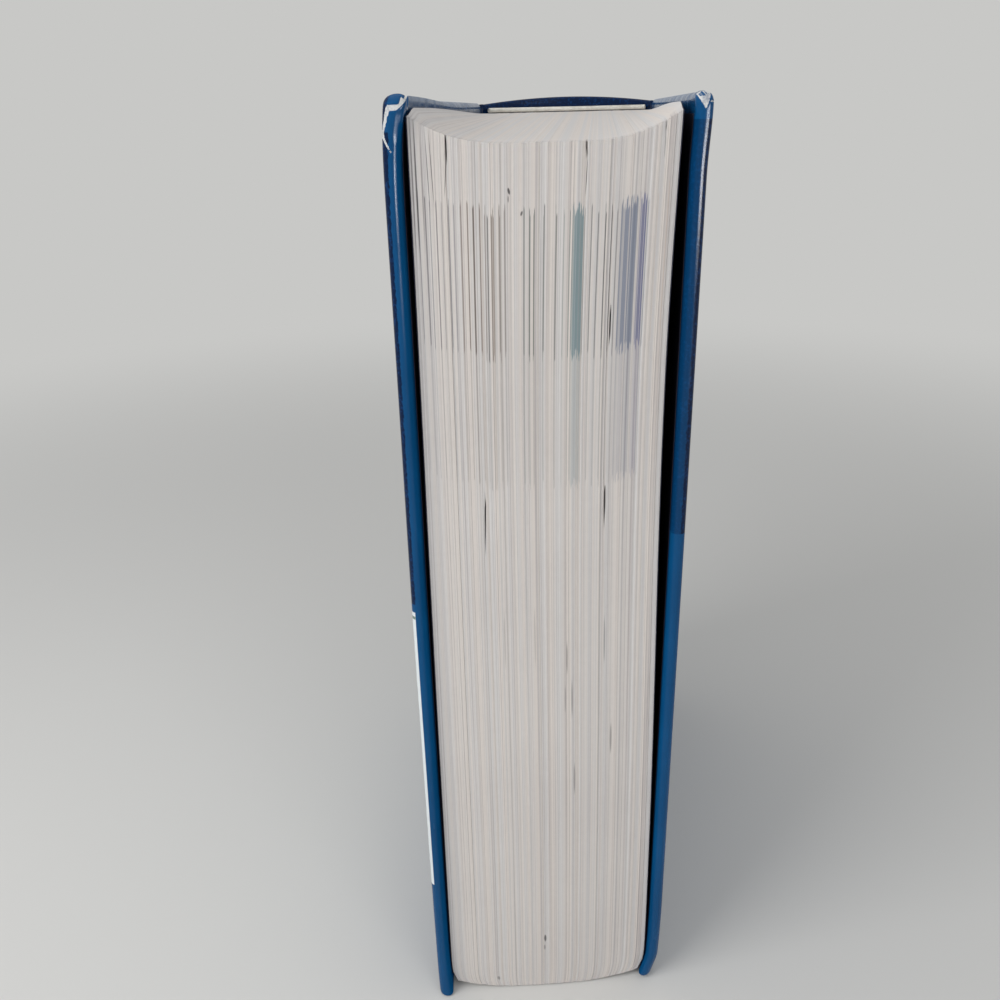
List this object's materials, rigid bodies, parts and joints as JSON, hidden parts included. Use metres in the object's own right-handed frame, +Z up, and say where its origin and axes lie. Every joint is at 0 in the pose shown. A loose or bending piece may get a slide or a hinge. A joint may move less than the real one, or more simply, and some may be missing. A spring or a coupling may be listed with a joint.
{
  "type": "study bible",
  "caption": "Thick hardback book with a rounded hollow back, wrapped boards that swing at grooved joints, and one sagged block of thin leaves with printed edge bands.",
  "frame": {"origin": "under the middle of the standing book, on the surface that it stands on", "axes": "+Z up from tail to head, -Y towards the fore-edge, +Y towards the spine, -X towards the front cover, +X towards the back cover"},
  "size_m": [0.063, 0.1632, 0.2396],
  "materials": {
    "leaves": "matt cut edges of thin paper",
    "endpaper": "matt plain white paper",
    "lining": "matt brown lining paper",
    "band": "white woven band",
    "spine_card": "matt grey card",
    "board": "matt greyboard",
    "printed_cover": "glossy laminated printed paper"
  },
  "bodies": {
    "book_block": {"text_block": "leaves", "front_flyleaf": "endpaper", "back_flyleaf": "endpaper", "spine_lining": "lining", "headband": "band", "tailband": "band", "spine_strip": "spine_card", "spine_cover": "printed_cover"},
    "front_cover": {"front_board": "board", "front_cover_paper": "printed_cover", "front_pastedown": "endpaper"},
    "back_cover": {"back_board": "board", "back_cover_paper": "printed_cover", "back_pastedown": "endpaper"}
  },
  "joints": [
    {"name": "front_cover_hinge", "type": "hinge", "parent": "book_block", "child": "front_cover", "pos_m": [-0.0315, 0.06223, 0.119], "axis": [0, 0, -1], "range_deg": [0, 180]},
    {"name": "back_cover_hinge", "type": "hinge", "parent": "book_block", "child": "back_cover", "pos_m": [0.0315, 0.07163, 0.119], "axis": [0, 0, 1], "range_deg": [0, 180]}
  ]
}
